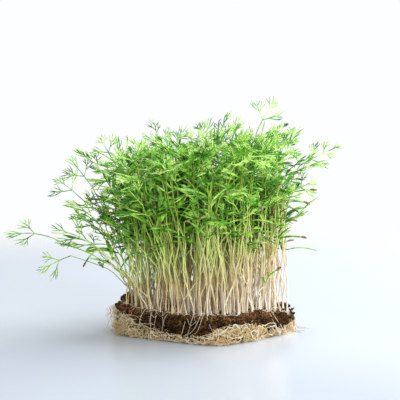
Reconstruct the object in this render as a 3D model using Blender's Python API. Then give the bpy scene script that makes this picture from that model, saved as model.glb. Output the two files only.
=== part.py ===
"""A mat of dill microgreens, lifted out of the punnet that it grew in.

Three kinds of body, all in metres with +Z up and the origin under the middle of the mat:
  soil_mat          the slab of growing medium, with one plain hole for each seedling
  roots_and_stems   the root mat that the slab lies on, and the pale stems that grow up from it
  shoot_01, ...     the green top of each seedling: upper stem, two seed leaves and a cut frond
"""

import math
import random

import bmesh
import bpy
import numpy as np
from mathutils import Vector, noise

MM = 0.001

# The mat, in plan a rounded square turned on the table
MAT_HALF = 44 * MM
EDGE_POWER = 5.0
MAT_YAW = math.radians(-36)
SOIL_TOP = 16.6 * MM
SOIL_RELIEF = 0.8 * MM
LAYER_HEIGHT = 7.2 * MM
LAYER_TILT = 0.04

# The mat curls up at its left end and thins out at its right end
END_START = 28 * MM
END_LENGTH = 25 * MM
LEFT_SOIL_RISE = 2.5 * MM
RIGHT_SOIL_FALL = 7.0 * MM
CLEARANCE = 0.35 * MM

# Each ring of a slab: share of the way out to the edge, and level from underside 0 to top 1
SOIL_RINGS = (
    (0.30, 1.0),
    (0.62, 1.0),
    (0.86, 1.0),
    (0.96, 0.97),
    (1.0, 0.72),
    (0.985, 0.38),
    (0.94, 0.0),
    (0.55, 0.0),
)
ROOT_RINGS = ((0.6, 1.0), (0.93, 1.0), (1.0, 0.62), (0.99, 0.25), (0.9, 0.0), (0.5, 0.0))
SOIL_COLUMNS = 36
ROOT_COLUMNS = 28

# Root strands round the foot of the mat
STRANDS = 36
STRAND_RADIUS = 0.62 * MM
STRAND_SINK = 5 * MM
STRAND_FLOOR = 0.9 * MM
STRAND_POINTS = 7
STRAND_SEED = 20

# Seedlings
SEED = 13
SPIRAL_SPROUTS = 36
GOLDEN_ANGLE = math.radians(137.508)
PLANTED_SHARE = 0.90
STEM_RADIUS = 0.8 * MM
SHOOT_RADIUS = 0.72 * MM
LONG_FROND_SHARE = 0.25
HOLE_RADIUS = 1.35 * MM
HOLE_SIDES = 4
COLLAR = 1.5 * MM
ROOTED = 3.2 * MM
PALE_HEIGHT = 58 * MM
HEAD_LOW = 68 * MM
HEAD_HIGH = 112 * MM
EDGE_FALL = 10 * MM
RIGHT_RISE = 5 * MM
LEFT_SPREAD = 0.12
BLADE_THICKNESS = 0.7 * MM
BLADE_FOOT = 0.32 * MM
HUSK_SHARE = 0.4
HUSK = Vector((1.9, 0.85, 0.75)) * MM
LEAST_GAP = 0.4 * MM
LEAST_SPACING = 4.2 * MM
MOST_TRIES = 220

# Ways to tidy a fused body, in the order of trying: width of slivers to weld, and angle up to
# which faces count as flat
TIDYINGS = (
    (0.003 * MM, math.radians(0.4)),
    (0.0005 * MM, math.radians(0.4)),
    (0.01 * MM, math.radians(0.05)),
    (0.0, math.radians(0.4)),
    (0.0, 0.0),
)

# Seedlings that reach out of the tuft: foot in plan and head in mm, frond's heading, rise and roll
# in degrees
LEADERS = (
    ((-41, -14), (-94, -18, 61), (181, 20, 70)),
    ((-34, 16), (-76, 22, 80), (158, 42, -60)),
    ((-41, 6), (-80, 8, 46), (190, -12, 65)),
    ((-26, 26), (-56, 32, 99), (160, 50, -70)),
    ((20, 4), (31, 4, 122), (20, 62, 65)),
    ((38, 16), (60, 14, 100), (8, 30, -70)),
    ((14, 34), (30, 58, 88), (66, 25, 40)),
    ((30, 21), (37, 26, 113), (30, 50, -65)),
    ((41, -5), (50, -10, 84), (20, 25, 70)),
    ((-22, -29), (-38, -44, 82), (220, 45, 70)),
    ((-33, -22), (-66, -32, 56), (170, 35, 70)),
    ((-40, -2), (-68, -6, 88), (165, 55, -70)),
    ((4, -37), (8, -58, 84), (-82, 32, 50)),
)

SOIL_COLOUR = (0.075, 0.046, 0.028)
STRAW_COLOUR = (0.62, 0.47, 0.24)
GREEN_COLOUR = (0.13, 0.34, 0.035)


# The surfaces of the mat


def edge_radius(angle, half):
    """Distance from the middle of a rounded square to its edge, along an angle in plan."""
    turned = angle - MAT_YAW
    total = abs(math.cos(turned)) ** EDGE_POWER + abs(math.sin(turned)) ** EDGE_POWER
    return half / total ** (1 / EDGE_POWER)


def end_share(x):
    """How far along the mat's end a point is, squared: 0 before it and 1 at the tip."""
    return min(max((x - END_START) / END_LENGTH, 0.0), 1.1) ** 2


def soil_top(x, y):
    """Height of the soil's upper face."""
    relief = noise.noise(Vector((x, y, 0)) / (11 * MM)) * SOIL_RELIEF
    return SOIL_TOP + LEFT_SOIL_RISE * end_share(-x) - RIGHT_SOIL_FALL * end_share(x) + relief


def layer_height(x):
    """Height of the sloping plane on which the soil lies over the roots."""
    return LAYER_HEIGHT - LAYER_TILT * x


# The growth rule of a seedling


def grow_sprout(rng, foot, head=None, heading=None):
    """One seedling's measures, drawn from rng; a leader has its head and heading given."""
    x, y = foot
    share = math.hypot(x, y) / edge_radius(math.atan2(y, x), MAT_HALF)
    if head is None:
        spread = rng.uniform(0.92, 1.15) - LEFT_SPREAD * x / MAT_HALF
        height = rng.uniform(HEAD_LOW, HEAD_HIGH) - EDGE_FALL * share**2
        height += RIGHT_RISE * x / MAT_HALF
        head = Vector((x * spread, y * spread, height))
        head += Vector((rng.gauss(-2, 5), rng.gauss(0, 5), 0)) * MM
        outward = math.atan2(y, x)
        heading = (outward + rng.uniform(-1.5, 1.5), rng.uniform(0.6, 1.35), rng.uniform(-1, 1))
    else:
        head = Vector(head) * MM + Vector(rng.uniform(-2, 2) for _ in range(3)) * MM
        heading = tuple(math.radians(a) + rng.uniform(-0.12, 0.12) for a in heading)
    collar = Vector((x, y, soil_top(x, y) + COLLAR))
    rise = head.z - collar.z
    split = min((PALE_HEIGHT - collar.z) / rise, 0.72) * rng.uniform(0.8, 1.0)
    fork = split + (1 - split) * rng.uniform(0.25, 0.6)
    leaf_turn = rng.uniform(0, math.tau)
    seed_leaves = [
        {
            "heading": (
                leaf_turn + side * math.pi + rng.uniform(-0.3, 0.3),
                rng.uniform(0.1, 1.15),
                rng.uniform(-0.8, 0.8),
            ),
            "length": rng.uniform(14, 20) * MM,
            "width": rng.uniform(1.7, 2.3) * MM,
            "droop": rng.uniform(0.2, 0.8),
        }
        for side in (0, 1)
    ]
    size = rng.uniform(20, 27) * MM
    return {
        "collar": collar,
        "head": head,
        "sway": Vector((rng.uniform(-1, 1), rng.uniform(-1, 1), 0)) * 4.5 * MM,
        "turns": rng.uniform(0.8, 1.7),
        "bow": rng.uniform(1.3, 2.2),
        "split": split,
        "fork": fork,
        "seed_leaves": seed_leaves,
        "husk": rng.random() < HUSK_SHARE,
        "heading": heading,
        "size": size,
        "droop": rng.uniform(0.05, 0.45),
        "cup": rng.uniform(-0.3, 0.3),
        "pinnae": frond_layout(rng, size, 2 if rng.random() < LONG_FROND_SHARE else 1),
    }


def stem_point(sprout, t):
    """A point of the seedling's stem, from its collar at t 0 to the foot of its frond at t 1."""
    collar, head = sprout["collar"], sprout["head"]
    across = t ** sprout["bow"]
    swing = math.sin(math.pi * sprout["turns"] * t) * t * (1 - t) * 2
    point = collar.lerp(head, across)
    point.z = collar.z + (head.z - collar.z) * t
    return point + sprout["sway"] * swing


def frond_layout(rng, size, pairs):
    """The pinnae of a frond laid flat: foot on the rib, heading, length, and lobes on its two sides."""
    pinnae = []
    for pair in range(pairs):
        place = size * (0.16 + 0.32 * pair if pairs > 1 else 0.34)
        length = size * (0.50 - 0.11 * pair if pairs > 1 else 0.56)
        for side in (-1, 1):
            angle = side * math.radians(rng.uniform(46, 55))
            pinnae.append(pinna(rng, place, angle, length * rng.uniform(0.92, 1.08)))
    start = size * (0.66 if pairs > 1 else 0.42)
    pinnae.append(pinna(rng, start, 0.0, size - start))
    return pinnae


def pinna(rng, place, angle, length):
    """One branch of a frond. Each lobe is its share along the branch, its side, turn and length."""
    lobes = [
        (0.32, -1, math.radians(rng.uniform(26, 33)), length * rng.uniform(0.52, 0.62)),
        (0.44, 1, math.radians(rng.uniform(26, 33)), length * rng.uniform(0.48, 0.56)),
    ]
    return {"place": place, "angle": angle, "length": length, "lobes": lobes}


def turned(point, angle):
    """A point in a frond's plane turned about the plane's origin."""
    x, y = point
    return (
        x * math.cos(angle) - y * math.sin(angle),
        x * math.sin(angle) + y * math.cos(angle),
    )


def heading_axes(azimuth, rise, roll):
    """Unit vectors along, across and out of a leaf, from where it points and its roll about that."""
    along = Vector(
        (
            math.cos(azimuth) * math.cos(rise),
            math.sin(azimuth) * math.cos(rise),
            math.sin(rise),
        )
    )
    level = Vector((-math.sin(azimuth), math.cos(azimuth), 0))
    across = level * math.cos(roll) + along.cross(level) * math.sin(roll)
    return along, across, along.cross(across)


def frond_point(sprout, u, v, w=0.0):
    """A point of the arched frond, u along its rib, v across it and w out of its face."""
    along, across, normal = heading_axes(*sprout["heading"])
    size = sprout["size"]
    arch = w - (sprout["droop"] * u * abs(u) + sprout["cup"] * v * v) / size
    return sprout["head"] + along * u + across * v + normal * arch


def seed_leaf_point(sprout, leaf, u, v, w=0.0):
    """A point of an arched seed leaf."""
    along, across, normal = heading_axes(*leaf["heading"])
    arch = w - leaf["droop"] * u * abs(u) / leaf["length"] * 0.6
    return stem_point(sprout, sprout["fork"]) + along * u + across * v + normal * arch


def skeleton(sprout):
    """Middle lines of all of a seedling's parts, as rows of two points and a radius."""
    rows = []

    def line(points, radius):
        for start, end in zip(points, points[1:]):
            rows.append((*start, *end, radius))

    line([stem_point(sprout, k / 9) for k in range(10)], STEM_RADIUS)
    for leaf in sprout["seed_leaves"]:
        steps = [leaf["length"] * s for s in (0.0, 0.35, 0.7, 1.1)]
        line([seed_leaf_point(sprout, leaf, u, 0) for u in steps], leaf["width"] / 2)
    rib = [sprout["size"] * s for s in (0.0, 0.33, 0.66, 1.0)]
    line([frond_point(sprout, u, 0) for u in rib], SHOOT_RADIUS)
    for branch in sprout["pinnae"]:
        place = Vector((branch["place"], 0))
        tip = place + Vector(turned((branch["length"], 0), branch["angle"]))
        line([frond_point(sprout, *place), frond_point(sprout, *tip)], SHOOT_RADIUS)
        for share, side, turn, length in branch["lobes"]:
            foot = place.lerp(tip, share)
            end = foot + Vector(turned((length, 0), branch["angle"] + side * turn))
            line([frond_point(sprout, *foot), frond_point(sprout, *end)], SHOOT_RADIUS)
    return np.array(rows)


def least_gap(rows, others):
    """The smallest space between two sets of round bars."""
    a, b = rows[:, None, 0:3], others[None, :, 0:3]
    u, v = rows[:, None, 3:6] - a, others[None, :, 3:6] - b
    r = a - b
    uu, vv, uv = (u * u).sum(2), (v * v).sum(2), (u * v).sum(2)
    ur, vr = (u * r).sum(2), (v * r).sum(2)
    square = np.maximum(uu * vv - uv * uv, 1e-18)
    s = np.clip((uv * vr - ur * vv) / square, 0, 1)
    t = np.clip((uv * s + vr) / vv, 0, 1)
    s = np.clip((uv * t - ur) / uu, 0, 1)
    apart = np.linalg.norm(r + u * s[..., None] - v * t[..., None], axis=2)
    return float((apart - rows[:, None, 6] - others[None, :, 6]).min())


def settle_sprouts():
    """All seedlings, each drawn again until it stands clear of those before it."""
    rng = random.Random(SEED)
    starts = [(Vector(foot) * MM, head, turn) for foot, head, turn in LEADERS]
    for k in range(SPIRAL_SPROUTS):
        angle = k * GOLDEN_ANGLE
        reach = PLANTED_SHARE * math.sqrt((k + 0.5) / SPIRAL_SPROUTS)
        radius = reach * edge_radius(angle, MAT_HALF)
        starts.append((Vector((math.cos(angle), math.sin(angle))) * radius, None, None))
    settled, taken = [], np.empty((0, 7))
    for foot, head, turn in starts:
        for _ in range(MOST_TRIES):
            spot = foot + Vector((rng.uniform(-1, 1), rng.uniform(-1, 1))) * 2.5 * MM
            sprout = grow_sprout(rng, spot, head, turn)
            near = [(spot - s["collar"].xy).length for s in settled]
            if near and min(near) < LEAST_SPACING:
                continue
            rows = skeleton(sprout)
            if not len(taken) or least_gap(rows, taken) > LEAST_GAP:
                settled.append(sprout)
                taken = np.vstack([taken, rows])
                break
    return settled


# Modelling


def clear_scene():
    for obj in list(bpy.data.objects):
        bpy.data.objects.remove(obj, do_unlink=True)


def new_material(name, colour, roughness):
    material = bpy.data.materials.new(name)
    material.use_nodes = True
    shader = material.node_tree.nodes["Principled BSDF"]
    shader.inputs["Base Color"].default_value = (*colour, 1)
    shader.inputs["Roughness"].default_value = roughness
    shader.inputs["Metallic"].default_value = 0.0
    return material


def object_from_bmesh(name, bm, collection):
    mesh = bpy.data.meshes.new(name)
    bm.to_mesh(mesh)
    bm.free()
    obj = bpy.data.objects.new(name, mesh)
    collection.objects.link(obj)
    return obj


def meshed(curve, collection):
    """The curve object's welded mesh in a new object; the curve itself is removed."""
    graph = bpy.context.evaluated_depsgraph_get()
    mesh = bpy.data.meshes.new_from_object(curve.evaluated_get(graph))
    bm = bmesh.new()
    bm.from_mesh(mesh)
    bmesh.ops.remove_doubles(bm, verts=bm.verts, dist=0.002 * MM)
    bmesh.ops.recalc_face_normals(bm, faces=bm.faces)
    bpy.data.meshes.remove(mesh)
    name = curve.name
    bpy.data.objects.remove(curve)
    return object_from_bmesh(name, bm, collection)


def curve_object(name, points, collection, closed):
    """A curve object with one straight-sided spline through the points."""
    data = bpy.data.curves.new(name, "CURVE")
    spline = data.splines.new("POLY")
    spline.points.add(len(points) - 1)
    for knot, point in zip(spline.points, points):
        knot.co = (*Vector(point).to_3d(), 1)
    spline.use_cyclic_u = closed
    obj = bpy.data.objects.new(name, data)
    collection.objects.link(obj)
    return obj


def tube(name, points, radii, section, collection):
    """A tube with flat ends along the points, with a radius at each."""
    obj = curve_object(name, points, collection, closed=False)
    obj.data.dimensions = "3D"
    obj.data.bevel_mode = "OBJECT"
    obj.data.bevel_object = section
    obj.data.use_fill_caps = True
    for knot, radius in zip(obj.data.splines[0].points, radii):
        knot.radius = radius
    return meshed(obj, collection)


def blade(name, outline, place, collection):
    """A thin leaf cut to an outline and bent by place(u, v, w)."""
    obj = curve_object(name, outline, collection, closed=True)
    obj.data.dimensions = "2D"
    obj.data.fill_mode = "BOTH"
    obj.data.extrude = BLADE_THICKNESS / 2
    leaf = meshed(obj, collection)
    for vertex in leaf.data.vertices:
        vertex.co = place(*vertex.co)
    return leaf


def tidied(mesh, sliver, flat_angle):
    """A bmesh of the mesh with its slivers welded, its flat faces joined and all split again."""
    bm = bmesh.new()
    bm.from_mesh(mesh)
    if sliver:
        bmesh.ops.remove_doubles(bm, verts=bm.verts, dist=sliver)
    if flat_angle:
        bmesh.ops.dissolve_limit(bm, angle_limit=flat_angle, verts=bm.verts, edges=bm.edges)
    bmesh.ops.triangulate(bm, faces=bm.faces)
    return bm


def fused(name, pieces, material, collection):
    """One closed body of the overlapping pieces, which are removed."""
    helpers = bpy.data.collections.new(name + "_pieces")
    bpy.context.scene.collection.children.link(helpers)
    for piece in pieces[1:]:
        helpers.objects.link(piece)
    union = pieces[0].modifiers.new("Union", "BOOLEAN")
    union.operation = "UNION"
    union.operand_type = "COLLECTION"
    union.collection = helpers
    union.solver = "MANIFOLD"
    graph = bpy.context.evaluated_depsgraph_get()
    joined = bpy.data.meshes.new_from_object(pieces[0].evaluated_get(graph))
    for sliver, flat_angle in TIDYINGS:
        bm = tidied(joined, sliver, flat_angle)
        if all(edge.is_manifold for edge in bm.edges):
            break
    bpy.data.meshes.remove(joined)
    for piece in pieces:
        bpy.data.objects.remove(piece, do_unlink=True)
    bpy.data.collections.remove(helpers)
    obj = object_from_bmesh(name, bm, collection)
    obj.data.materials.append(material)
    return obj


def slab(name, half, rings, columns, top, bottom, wander, collection):
    """A closed slab with the mat's plan, from a sphere whose rings are spread flat."""
    bm = bmesh.new()
    bmesh.ops.create_uvsphere(bm, u_segments=columns, v_segments=len(rings) + 1, radius=1)
    profile = [(0.0, 1.0), *rings, (0.0, 0.0)]
    for vertex in bm.verts:
        ring = round(math.acos(max(-1, min(1, vertex.co.z))) / math.pi * (len(rings) + 1))
        share, level = profile[ring]
        angle = math.atan2(vertex.co.y, vertex.co.x)
        radius = share * edge_radius(angle, half)
        if 0 < level < 1:
            spot = Vector((math.cos(angle) * 4, math.sin(angle) * 4, level * 1.5))
            radius += wander * noise.noise(spot)
        x, y = radius * math.cos(angle), radius * math.sin(angle)
        vertex.co = (x, y, bottom(x, y) + level * (top(x, y) - bottom(x, y)))
    return object_from_bmesh(name, bm, collection)


def build_soil(sprouts, material, collection):
    """The slab of soil with a plain hole for each stem."""
    soil = slab(
        "soil_mat",
        MAT_HALF,
        SOIL_RINGS,
        SOIL_COLUMNS,
        soil_top,
        lambda x, y: layer_height(x) + CLEARANCE,
        2.2 * MM,
        collection,
    )
    soil.data.materials.append(material)
    cutters = bpy.data.collections.new("hole_cutters")
    bpy.context.scene.collection.children.link(cutters)
    depth = SOIL_TOP + 20 * MM
    for k, sprout in enumerate(sprouts):
        x, y = sprout["collar"].xy
        bm = bmesh.new()
        bmesh.ops.create_cone(
            bm,
            cap_ends=True,
            segments=HOLE_SIDES,
            radius1=HOLE_RADIUS,
            radius2=HOLE_RADIUS,
            depth=depth,
        )
        cutter = object_from_bmesh(f"hole_{k + 1:02d}", bm, cutters)
        cutter.location = (x, y, depth / 2)
        cutter.hide_render = True
        cutter.display_type = "WIRE"
    holes = soil.modifiers.new("Holes", "BOOLEAN")
    holes.operation = "DIFFERENCE"
    holes.operand_type = "COLLECTION"
    holes.collection = cutters
    holes.solver = "MANIFOLD"
    return soil


def strand_points(rng, angle):
    """A root that leaves the mat's foot, curls outside it and mostly turns back in."""
    reach = rng.uniform(4, 9) * MM
    drift = rng.uniform(-1, 1) * 0.30
    returns = rng.random() < 0.7
    wave, phase = rng.uniform(1.2, 2.6), rng.uniform(0, math.tau)
    start, points = rng.uniform(0.45, 0.8), []
    for k in range(STRAND_POINTS):
        t = k / (STRAND_POINTS - 1)
        out = math.sin(math.pi * t) if returns else t**0.8
        turn = angle + drift * t + 0.03 * math.sin(math.tau * wave * t + phase)
        radius = edge_radius(turn, MAT_HALF) - STRAND_SINK + (reach + STRAND_SINK) * out
        x, y = radius * math.cos(turn), radius * math.sin(turn)
        height = layer_height(x) * start * (1 - 0.85 * t)
        height += 0.7 * MM * math.sin(math.tau * wave * t + 2 * phase)
        points.append(Vector((x, y, max(height, STRAND_FLOOR))))
    return points


def build_roots_and_stems(sprouts, section, material, collection):
    """The root mat with its curled strands, and the pale stems that stand on it."""
    rng = random.Random(STRAND_SEED)
    pieces = [
        slab(
            "root_pad",
            MAT_HALF - 1 * MM,
            ROOT_RINGS,
            ROOT_COLUMNS,
            lambda x, y: layer_height(x),
            lambda x, y: 0.0,
            3 * MM,
            collection,
        )
    ]
    for k in range(STRANDS):
        points = strand_points(rng, math.tau * (k + rng.uniform(-0.3, 0.3)) / STRANDS)
        radii = [STRAND_RADIUS * (1.15 - 0.4 * j / len(points)) for j in range(len(points))]
        pieces.append(tube("strand", points, radii, section, collection))
    for sprout in sprouts:
        collar = sprout["collar"]
        foot = Vector((collar.x, collar.y, layer_height(collar.x) - ROOTED))
        points = [foot, *(stem_point(sprout, sprout["split"] * t) for t in (0, 0.5, 1))]
        pieces.append(tube("stem", points, [STEM_RADIUS] * len(points), section, collection))
    return fused("roots_and_stems", pieces, material, collection)


def pinna_outline(branch, edge):
    """The outline of one branch of a frond and its lobes, counter-clockwise in the frond's plane."""
    width = 0.42 * MM
    foot = 0.75 * MM
    lower = sorted(lobe for lobe in branch["lobes"] if lobe[1] < 0)
    upper = sorted((lobe for lobe in branch["lobes"] if lobe[1] > 0), reverse=True)
    points = []

    def lobe_points(lobe, step):
        share, side, turn, length = lobe
        middle = share * branch["length"]
        tip = Vector((middle, 0)) + Vector(turned((length, 0), side * turn))
        return [
            (middle - step * foot, side * width),
            tuple(tip),
            (middle + step * foot, side * width),
        ]

    join = edge / math.sin(abs(branch["angle"])) if branch["angle"] else None
    if join:
        points.append((join, -width))
    for lobe in lower:
        points += lobe_points(lobe, 1)
    points.append((branch["length"], 0))
    for lobe in upper:
        points += lobe_points(lobe, -1)
    if join:
        points.append((join, width))
    place = Vector((branch["place"], 0))
    return [place + Vector(turned(p, branch["angle"])) for p in points]


def frond_outline(sprout):
    """The outline of a whole frond, cut to the rib between its branches and lobes."""
    edge = 0.5 * MM
    branches = sorted(sprout["pinnae"], key=lambda branch: branch["place"])
    right = [branch for branch in branches if branch["angle"] < 0]
    left = [branch for branch in reversed(branches) if branch["angle"] > 0]
    tip = [branch for branch in branches if branch["angle"] == 0]
    outline = [(-BLADE_FOOT, 0)]
    for branch in right + tip + left:
        outline += [tuple(p) for p in pinna_outline(branch, edge)]
    return outline


def seed_leaf_outline(leaf):
    """A narrow lance shape, from inside the stem to the tip."""
    length, half = leaf["length"], leaf["width"] / 2
    side = [(0.3 * length, half), (0.68 * length, 0.85 * half)]
    foot, tip = [(-BLADE_FOOT, 0)], [(length, 0)]
    return foot + [(u, -v) for u, v in side] + tip + [(u, v) for u, v in reversed(side)]


def husk(sprout, leaf, collection):
    """The seed's empty coat, still held on the tip of a seed leaf."""
    bm = bmesh.new()
    bmesh.ops.create_uvsphere(bm, u_segments=4, v_segments=2, radius=1)
    bmesh.ops.scale(bm, vec=HUSK, verts=bm.verts)
    for vertex in bm.verts:
        u, v, w = vertex.co
        vertex.co = seed_leaf_point(sprout, leaf, leaf["length"] + u + 0.6 * MM, v, w)
    return object_from_bmesh("husk", bm, collection)


def build_shoot(name, sprout, section, material, collection):
    """The green top of one seedling."""
    gap = CLEARANCE / (sprout["head"] - sprout["collar"]).length
    start, fork = sprout["split"] + gap, sprout["fork"]
    stations = (start, fork, (fork + 1) / 2, 1.0)
    points = [stem_point(sprout, t) for t in stations]
    pieces = [tube("upper_stem", points, [STEM_RADIUS] * len(points), section, collection)]
    pieces.append(
        blade(
            "frond",
            frond_outline(sprout),
            lambda u, v, w: frond_point(sprout, u, v, w),
            collection,
        )
    )
    for leaf in sprout["seed_leaves"]:
        pieces.append(
            blade(
                "seed_leaf",
                seed_leaf_outline(leaf),
                lambda u, v, w, leaf=leaf: seed_leaf_point(sprout, leaf, u, v, w),
                collection,
            )
        )
    if sprout["husk"]:
        pieces.append(husk(sprout, sprout["seed_leaves"][0], collection))
    return fused(name, pieces, material, collection)


def tube_section(collection):
    """The three-sided outline that the thin tubes are drawn along, 1 m in radius before scaling."""
    corners = [turned((1, 0), math.tau * k / 3) for k in range(3)]
    section = curve_object("tube_section", corners, collection, closed=True)
    section.data.dimensions = "2D"
    section.hide_render = True
    return section


def main():
    clear_scene()
    scene = bpy.context.scene
    mat = bpy.data.collections.new("microgreens_mat")
    guides = bpy.data.collections.new("guides")
    scene.collection.children.link(mat)
    scene.collection.children.link(guides)
    soil_material = new_material("soil", SOIL_COLOUR, 0.95)
    straw_material = new_material("straw", STRAW_COLOUR, 0.6)
    green_material = new_material("green", GREEN_COLOUR, 0.5)
    section = tube_section(guides)
    sprouts = settle_sprouts()
    build_soil(sprouts, soil_material, mat)
    build_roots_and_stems(sprouts, section, straw_material, mat)
    for k, sprout in enumerate(sprouts):
        build_shoot(f"shoot_{k + 1:02d}", sprout, section, green_material, mat)


main()
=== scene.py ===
import math
import random

import bmesh
import bpy
import numpy as np
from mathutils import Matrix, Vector, noise


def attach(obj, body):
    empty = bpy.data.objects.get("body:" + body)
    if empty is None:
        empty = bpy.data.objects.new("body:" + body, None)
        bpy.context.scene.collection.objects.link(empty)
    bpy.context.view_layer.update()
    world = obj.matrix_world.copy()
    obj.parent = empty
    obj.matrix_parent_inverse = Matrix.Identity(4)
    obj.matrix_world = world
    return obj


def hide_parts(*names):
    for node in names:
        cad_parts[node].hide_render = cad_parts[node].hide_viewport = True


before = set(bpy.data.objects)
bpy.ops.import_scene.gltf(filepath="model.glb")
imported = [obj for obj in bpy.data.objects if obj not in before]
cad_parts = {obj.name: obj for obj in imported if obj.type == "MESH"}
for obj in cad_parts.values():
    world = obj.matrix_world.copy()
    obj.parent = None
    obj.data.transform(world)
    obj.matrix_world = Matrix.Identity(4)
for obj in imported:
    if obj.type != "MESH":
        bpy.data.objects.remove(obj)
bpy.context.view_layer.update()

MM = 0.001

# The mat and the seedlings are measured as in the part's source, so each piece grows where its
# solid stands

# The mat, in plan a rounded square turned on the table
MAT_HALF = 44 * MM
EDGE_POWER = 5.0
MAT_YAW = math.radians(-36)
SOIL_TOP = 16.6 * MM
SOIL_RELIEF = 0.8 * MM

# The mat curls up at its left end and thins out at its right end
END_START = 28 * MM
END_LENGTH = 25 * MM
LEFT_SOIL_RISE = 2.5 * MM
RIGHT_SOIL_FALL = 7.0 * MM

# Seedlings that have solids
SEED = 13
SPIRAL_SPROUTS = 36
GOLDEN_ANGLE = math.radians(137.508)
PLANTED_SHARE = 0.90
STEM_RADIUS = 0.8 * MM
SHOOT_RADIUS = 0.72 * MM
LONG_FROND_SHARE = 0.25
COLLAR = 1.5 * MM
PALE_HEIGHT = 58 * MM
HEAD_LOW = 68 * MM
HEAD_HIGH = 112 * MM
EDGE_FALL = 10 * MM
RIGHT_RISE = 5 * MM
LEFT_SPREAD = 0.12
HUSK_SHARE = 0.4
LEAST_GAP = 0.4 * MM
LEAST_SPACING = 4.2 * MM
MOST_TRIES = 220

# Seedlings that reach out of the tuft: foot in plan and head in mm, frond's heading, rise and roll
# in degrees
LEADERS = (
    ((-41, -14), (-94, -18, 61), (181, 20, 70)),
    ((-34, 16), (-76, 22, 80), (158, 42, -60)),
    ((-41, 6), (-80, 8, 46), (190, -12, 65)),
    ((-26, 26), (-56, 32, 99), (160, 50, -70)),
    ((20, 4), (31, 4, 122), (20, 62, 65)),
    ((38, 16), (60, 14, 100), (8, 30, -70)),
    ((14, 34), (30, 58, 88), (66, 25, 40)),
    ((30, 21), (37, 26, 113), (30, 50, -65)),
    ((41, -5), (50, -10, 84), (20, 25, 70)),
    ((-22, -29), (-38, -44, 82), (220, 45, 70)),
    ((-33, -22), (-66, -32, 56), (170, 35, 70)),
    ((-40, -2), (-68, -6, 88), (165, 55, -70)),
    ((4, -37), (8, -58, 84), (-82, 32, 50)),
)


# The growth rule, shared with the part's source


def edge_radius(angle, half):
    """Distance from the middle of a rounded square to its edge, along an angle in plan."""
    turned_angle = angle - MAT_YAW
    total = abs(math.cos(turned_angle)) ** EDGE_POWER + abs(math.sin(turned_angle)) ** EDGE_POWER
    return half / total ** (1 / EDGE_POWER)


def end_share(x):
    """How far along the mat's end a point is, squared: 0 before it and 1 at the tip."""
    return min(max((x - END_START) / END_LENGTH, 0.0), 1.1) ** 2


def soil_top(x, y):
    """Height of the soil's upper face."""
    relief = noise.noise(Vector((x, y, 0)) / (11 * MM)) * SOIL_RELIEF
    return SOIL_TOP + LEFT_SOIL_RISE * end_share(-x) - RIGHT_SOIL_FALL * end_share(x) + relief


def grow_sprout(rng, foot, head=None, heading=None):
    """One seedling's measures, drawn from rng; a leader has its head and heading given."""
    x, y = foot
    share = math.hypot(x, y) / edge_radius(math.atan2(y, x), MAT_HALF)
    if head is None:
        spread = rng.uniform(0.92, 1.15) - LEFT_SPREAD * x / MAT_HALF
        height = rng.uniform(HEAD_LOW, HEAD_HIGH) - EDGE_FALL * share**2
        height += RIGHT_RISE * x / MAT_HALF
        head = Vector((x * spread, y * spread, height))
        head += Vector((rng.gauss(-2, 5), rng.gauss(0, 5), 0)) * MM
        outward = math.atan2(y, x)
        heading = (outward + rng.uniform(-1.5, 1.5), rng.uniform(0.6, 1.35), rng.uniform(-1, 1))
    else:
        head = Vector(head) * MM + Vector(rng.uniform(-2, 2) for _ in range(3)) * MM
        heading = tuple(math.radians(a) + rng.uniform(-0.12, 0.12) for a in heading)
    collar = Vector((x, y, soil_top(x, y) + COLLAR))
    rise = head.z - collar.z
    split = min((PALE_HEIGHT - collar.z) / rise, 0.72) * rng.uniform(0.8, 1.0)
    fork = split + (1 - split) * rng.uniform(0.25, 0.6)
    leaf_turn = rng.uniform(0, math.tau)
    seed_leaves = [
        {
            "heading": (
                leaf_turn + side * math.pi + rng.uniform(-0.3, 0.3),
                rng.uniform(0.1, 1.15),
                rng.uniform(-0.8, 0.8),
            ),
            "length": rng.uniform(14, 20) * MM,
            "width": rng.uniform(1.7, 2.3) * MM,
            "droop": rng.uniform(0.2, 0.8),
        }
        for side in (0, 1)
    ]
    size = rng.uniform(20, 27) * MM
    return {
        "collar": collar,
        "head": head,
        "sway": Vector((rng.uniform(-1, 1), rng.uniform(-1, 1), 0)) * 4.5 * MM,
        "turns": rng.uniform(0.8, 1.7),
        "bow": rng.uniform(1.3, 2.2),
        "split": split,
        "fork": fork,
        "seed_leaves": seed_leaves,
        "husk": rng.random() < HUSK_SHARE,
        "heading": heading,
        "size": size,
        "droop": rng.uniform(0.05, 0.45),
        "cup": rng.uniform(-0.3, 0.3),
        "pinnae": frond_layout(rng, size, 2 if rng.random() < LONG_FROND_SHARE else 1),
    }


def stem_point(sprout, t):
    """A point of the seedling's stem, from its collar at t 0 to the foot of its frond at t 1."""
    collar, head = sprout["collar"], sprout["head"]
    across = t ** sprout["bow"]
    swing = math.sin(math.pi * sprout["turns"] * t) * t * (1 - t) * 2
    point = collar.lerp(head, across)
    point.z = collar.z + (head.z - collar.z) * t
    return point + sprout["sway"] * swing


def frond_layout(rng, size, pairs):
    """The pinnae of a frond laid flat: foot on the rib, heading, length, and lobes on its two sides."""
    pinnae = []
    for pair in range(pairs):
        place = size * (0.16 + 0.32 * pair if pairs > 1 else 0.34)
        length = size * (0.50 - 0.11 * pair if pairs > 1 else 0.56)
        for side in (-1, 1):
            angle = side * math.radians(rng.uniform(46, 55))
            pinnae.append(pinna(rng, place, angle, length * rng.uniform(0.92, 1.08)))
    start = size * (0.66 if pairs > 1 else 0.42)
    pinnae.append(pinna(rng, start, 0.0, size - start))
    return pinnae


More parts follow.
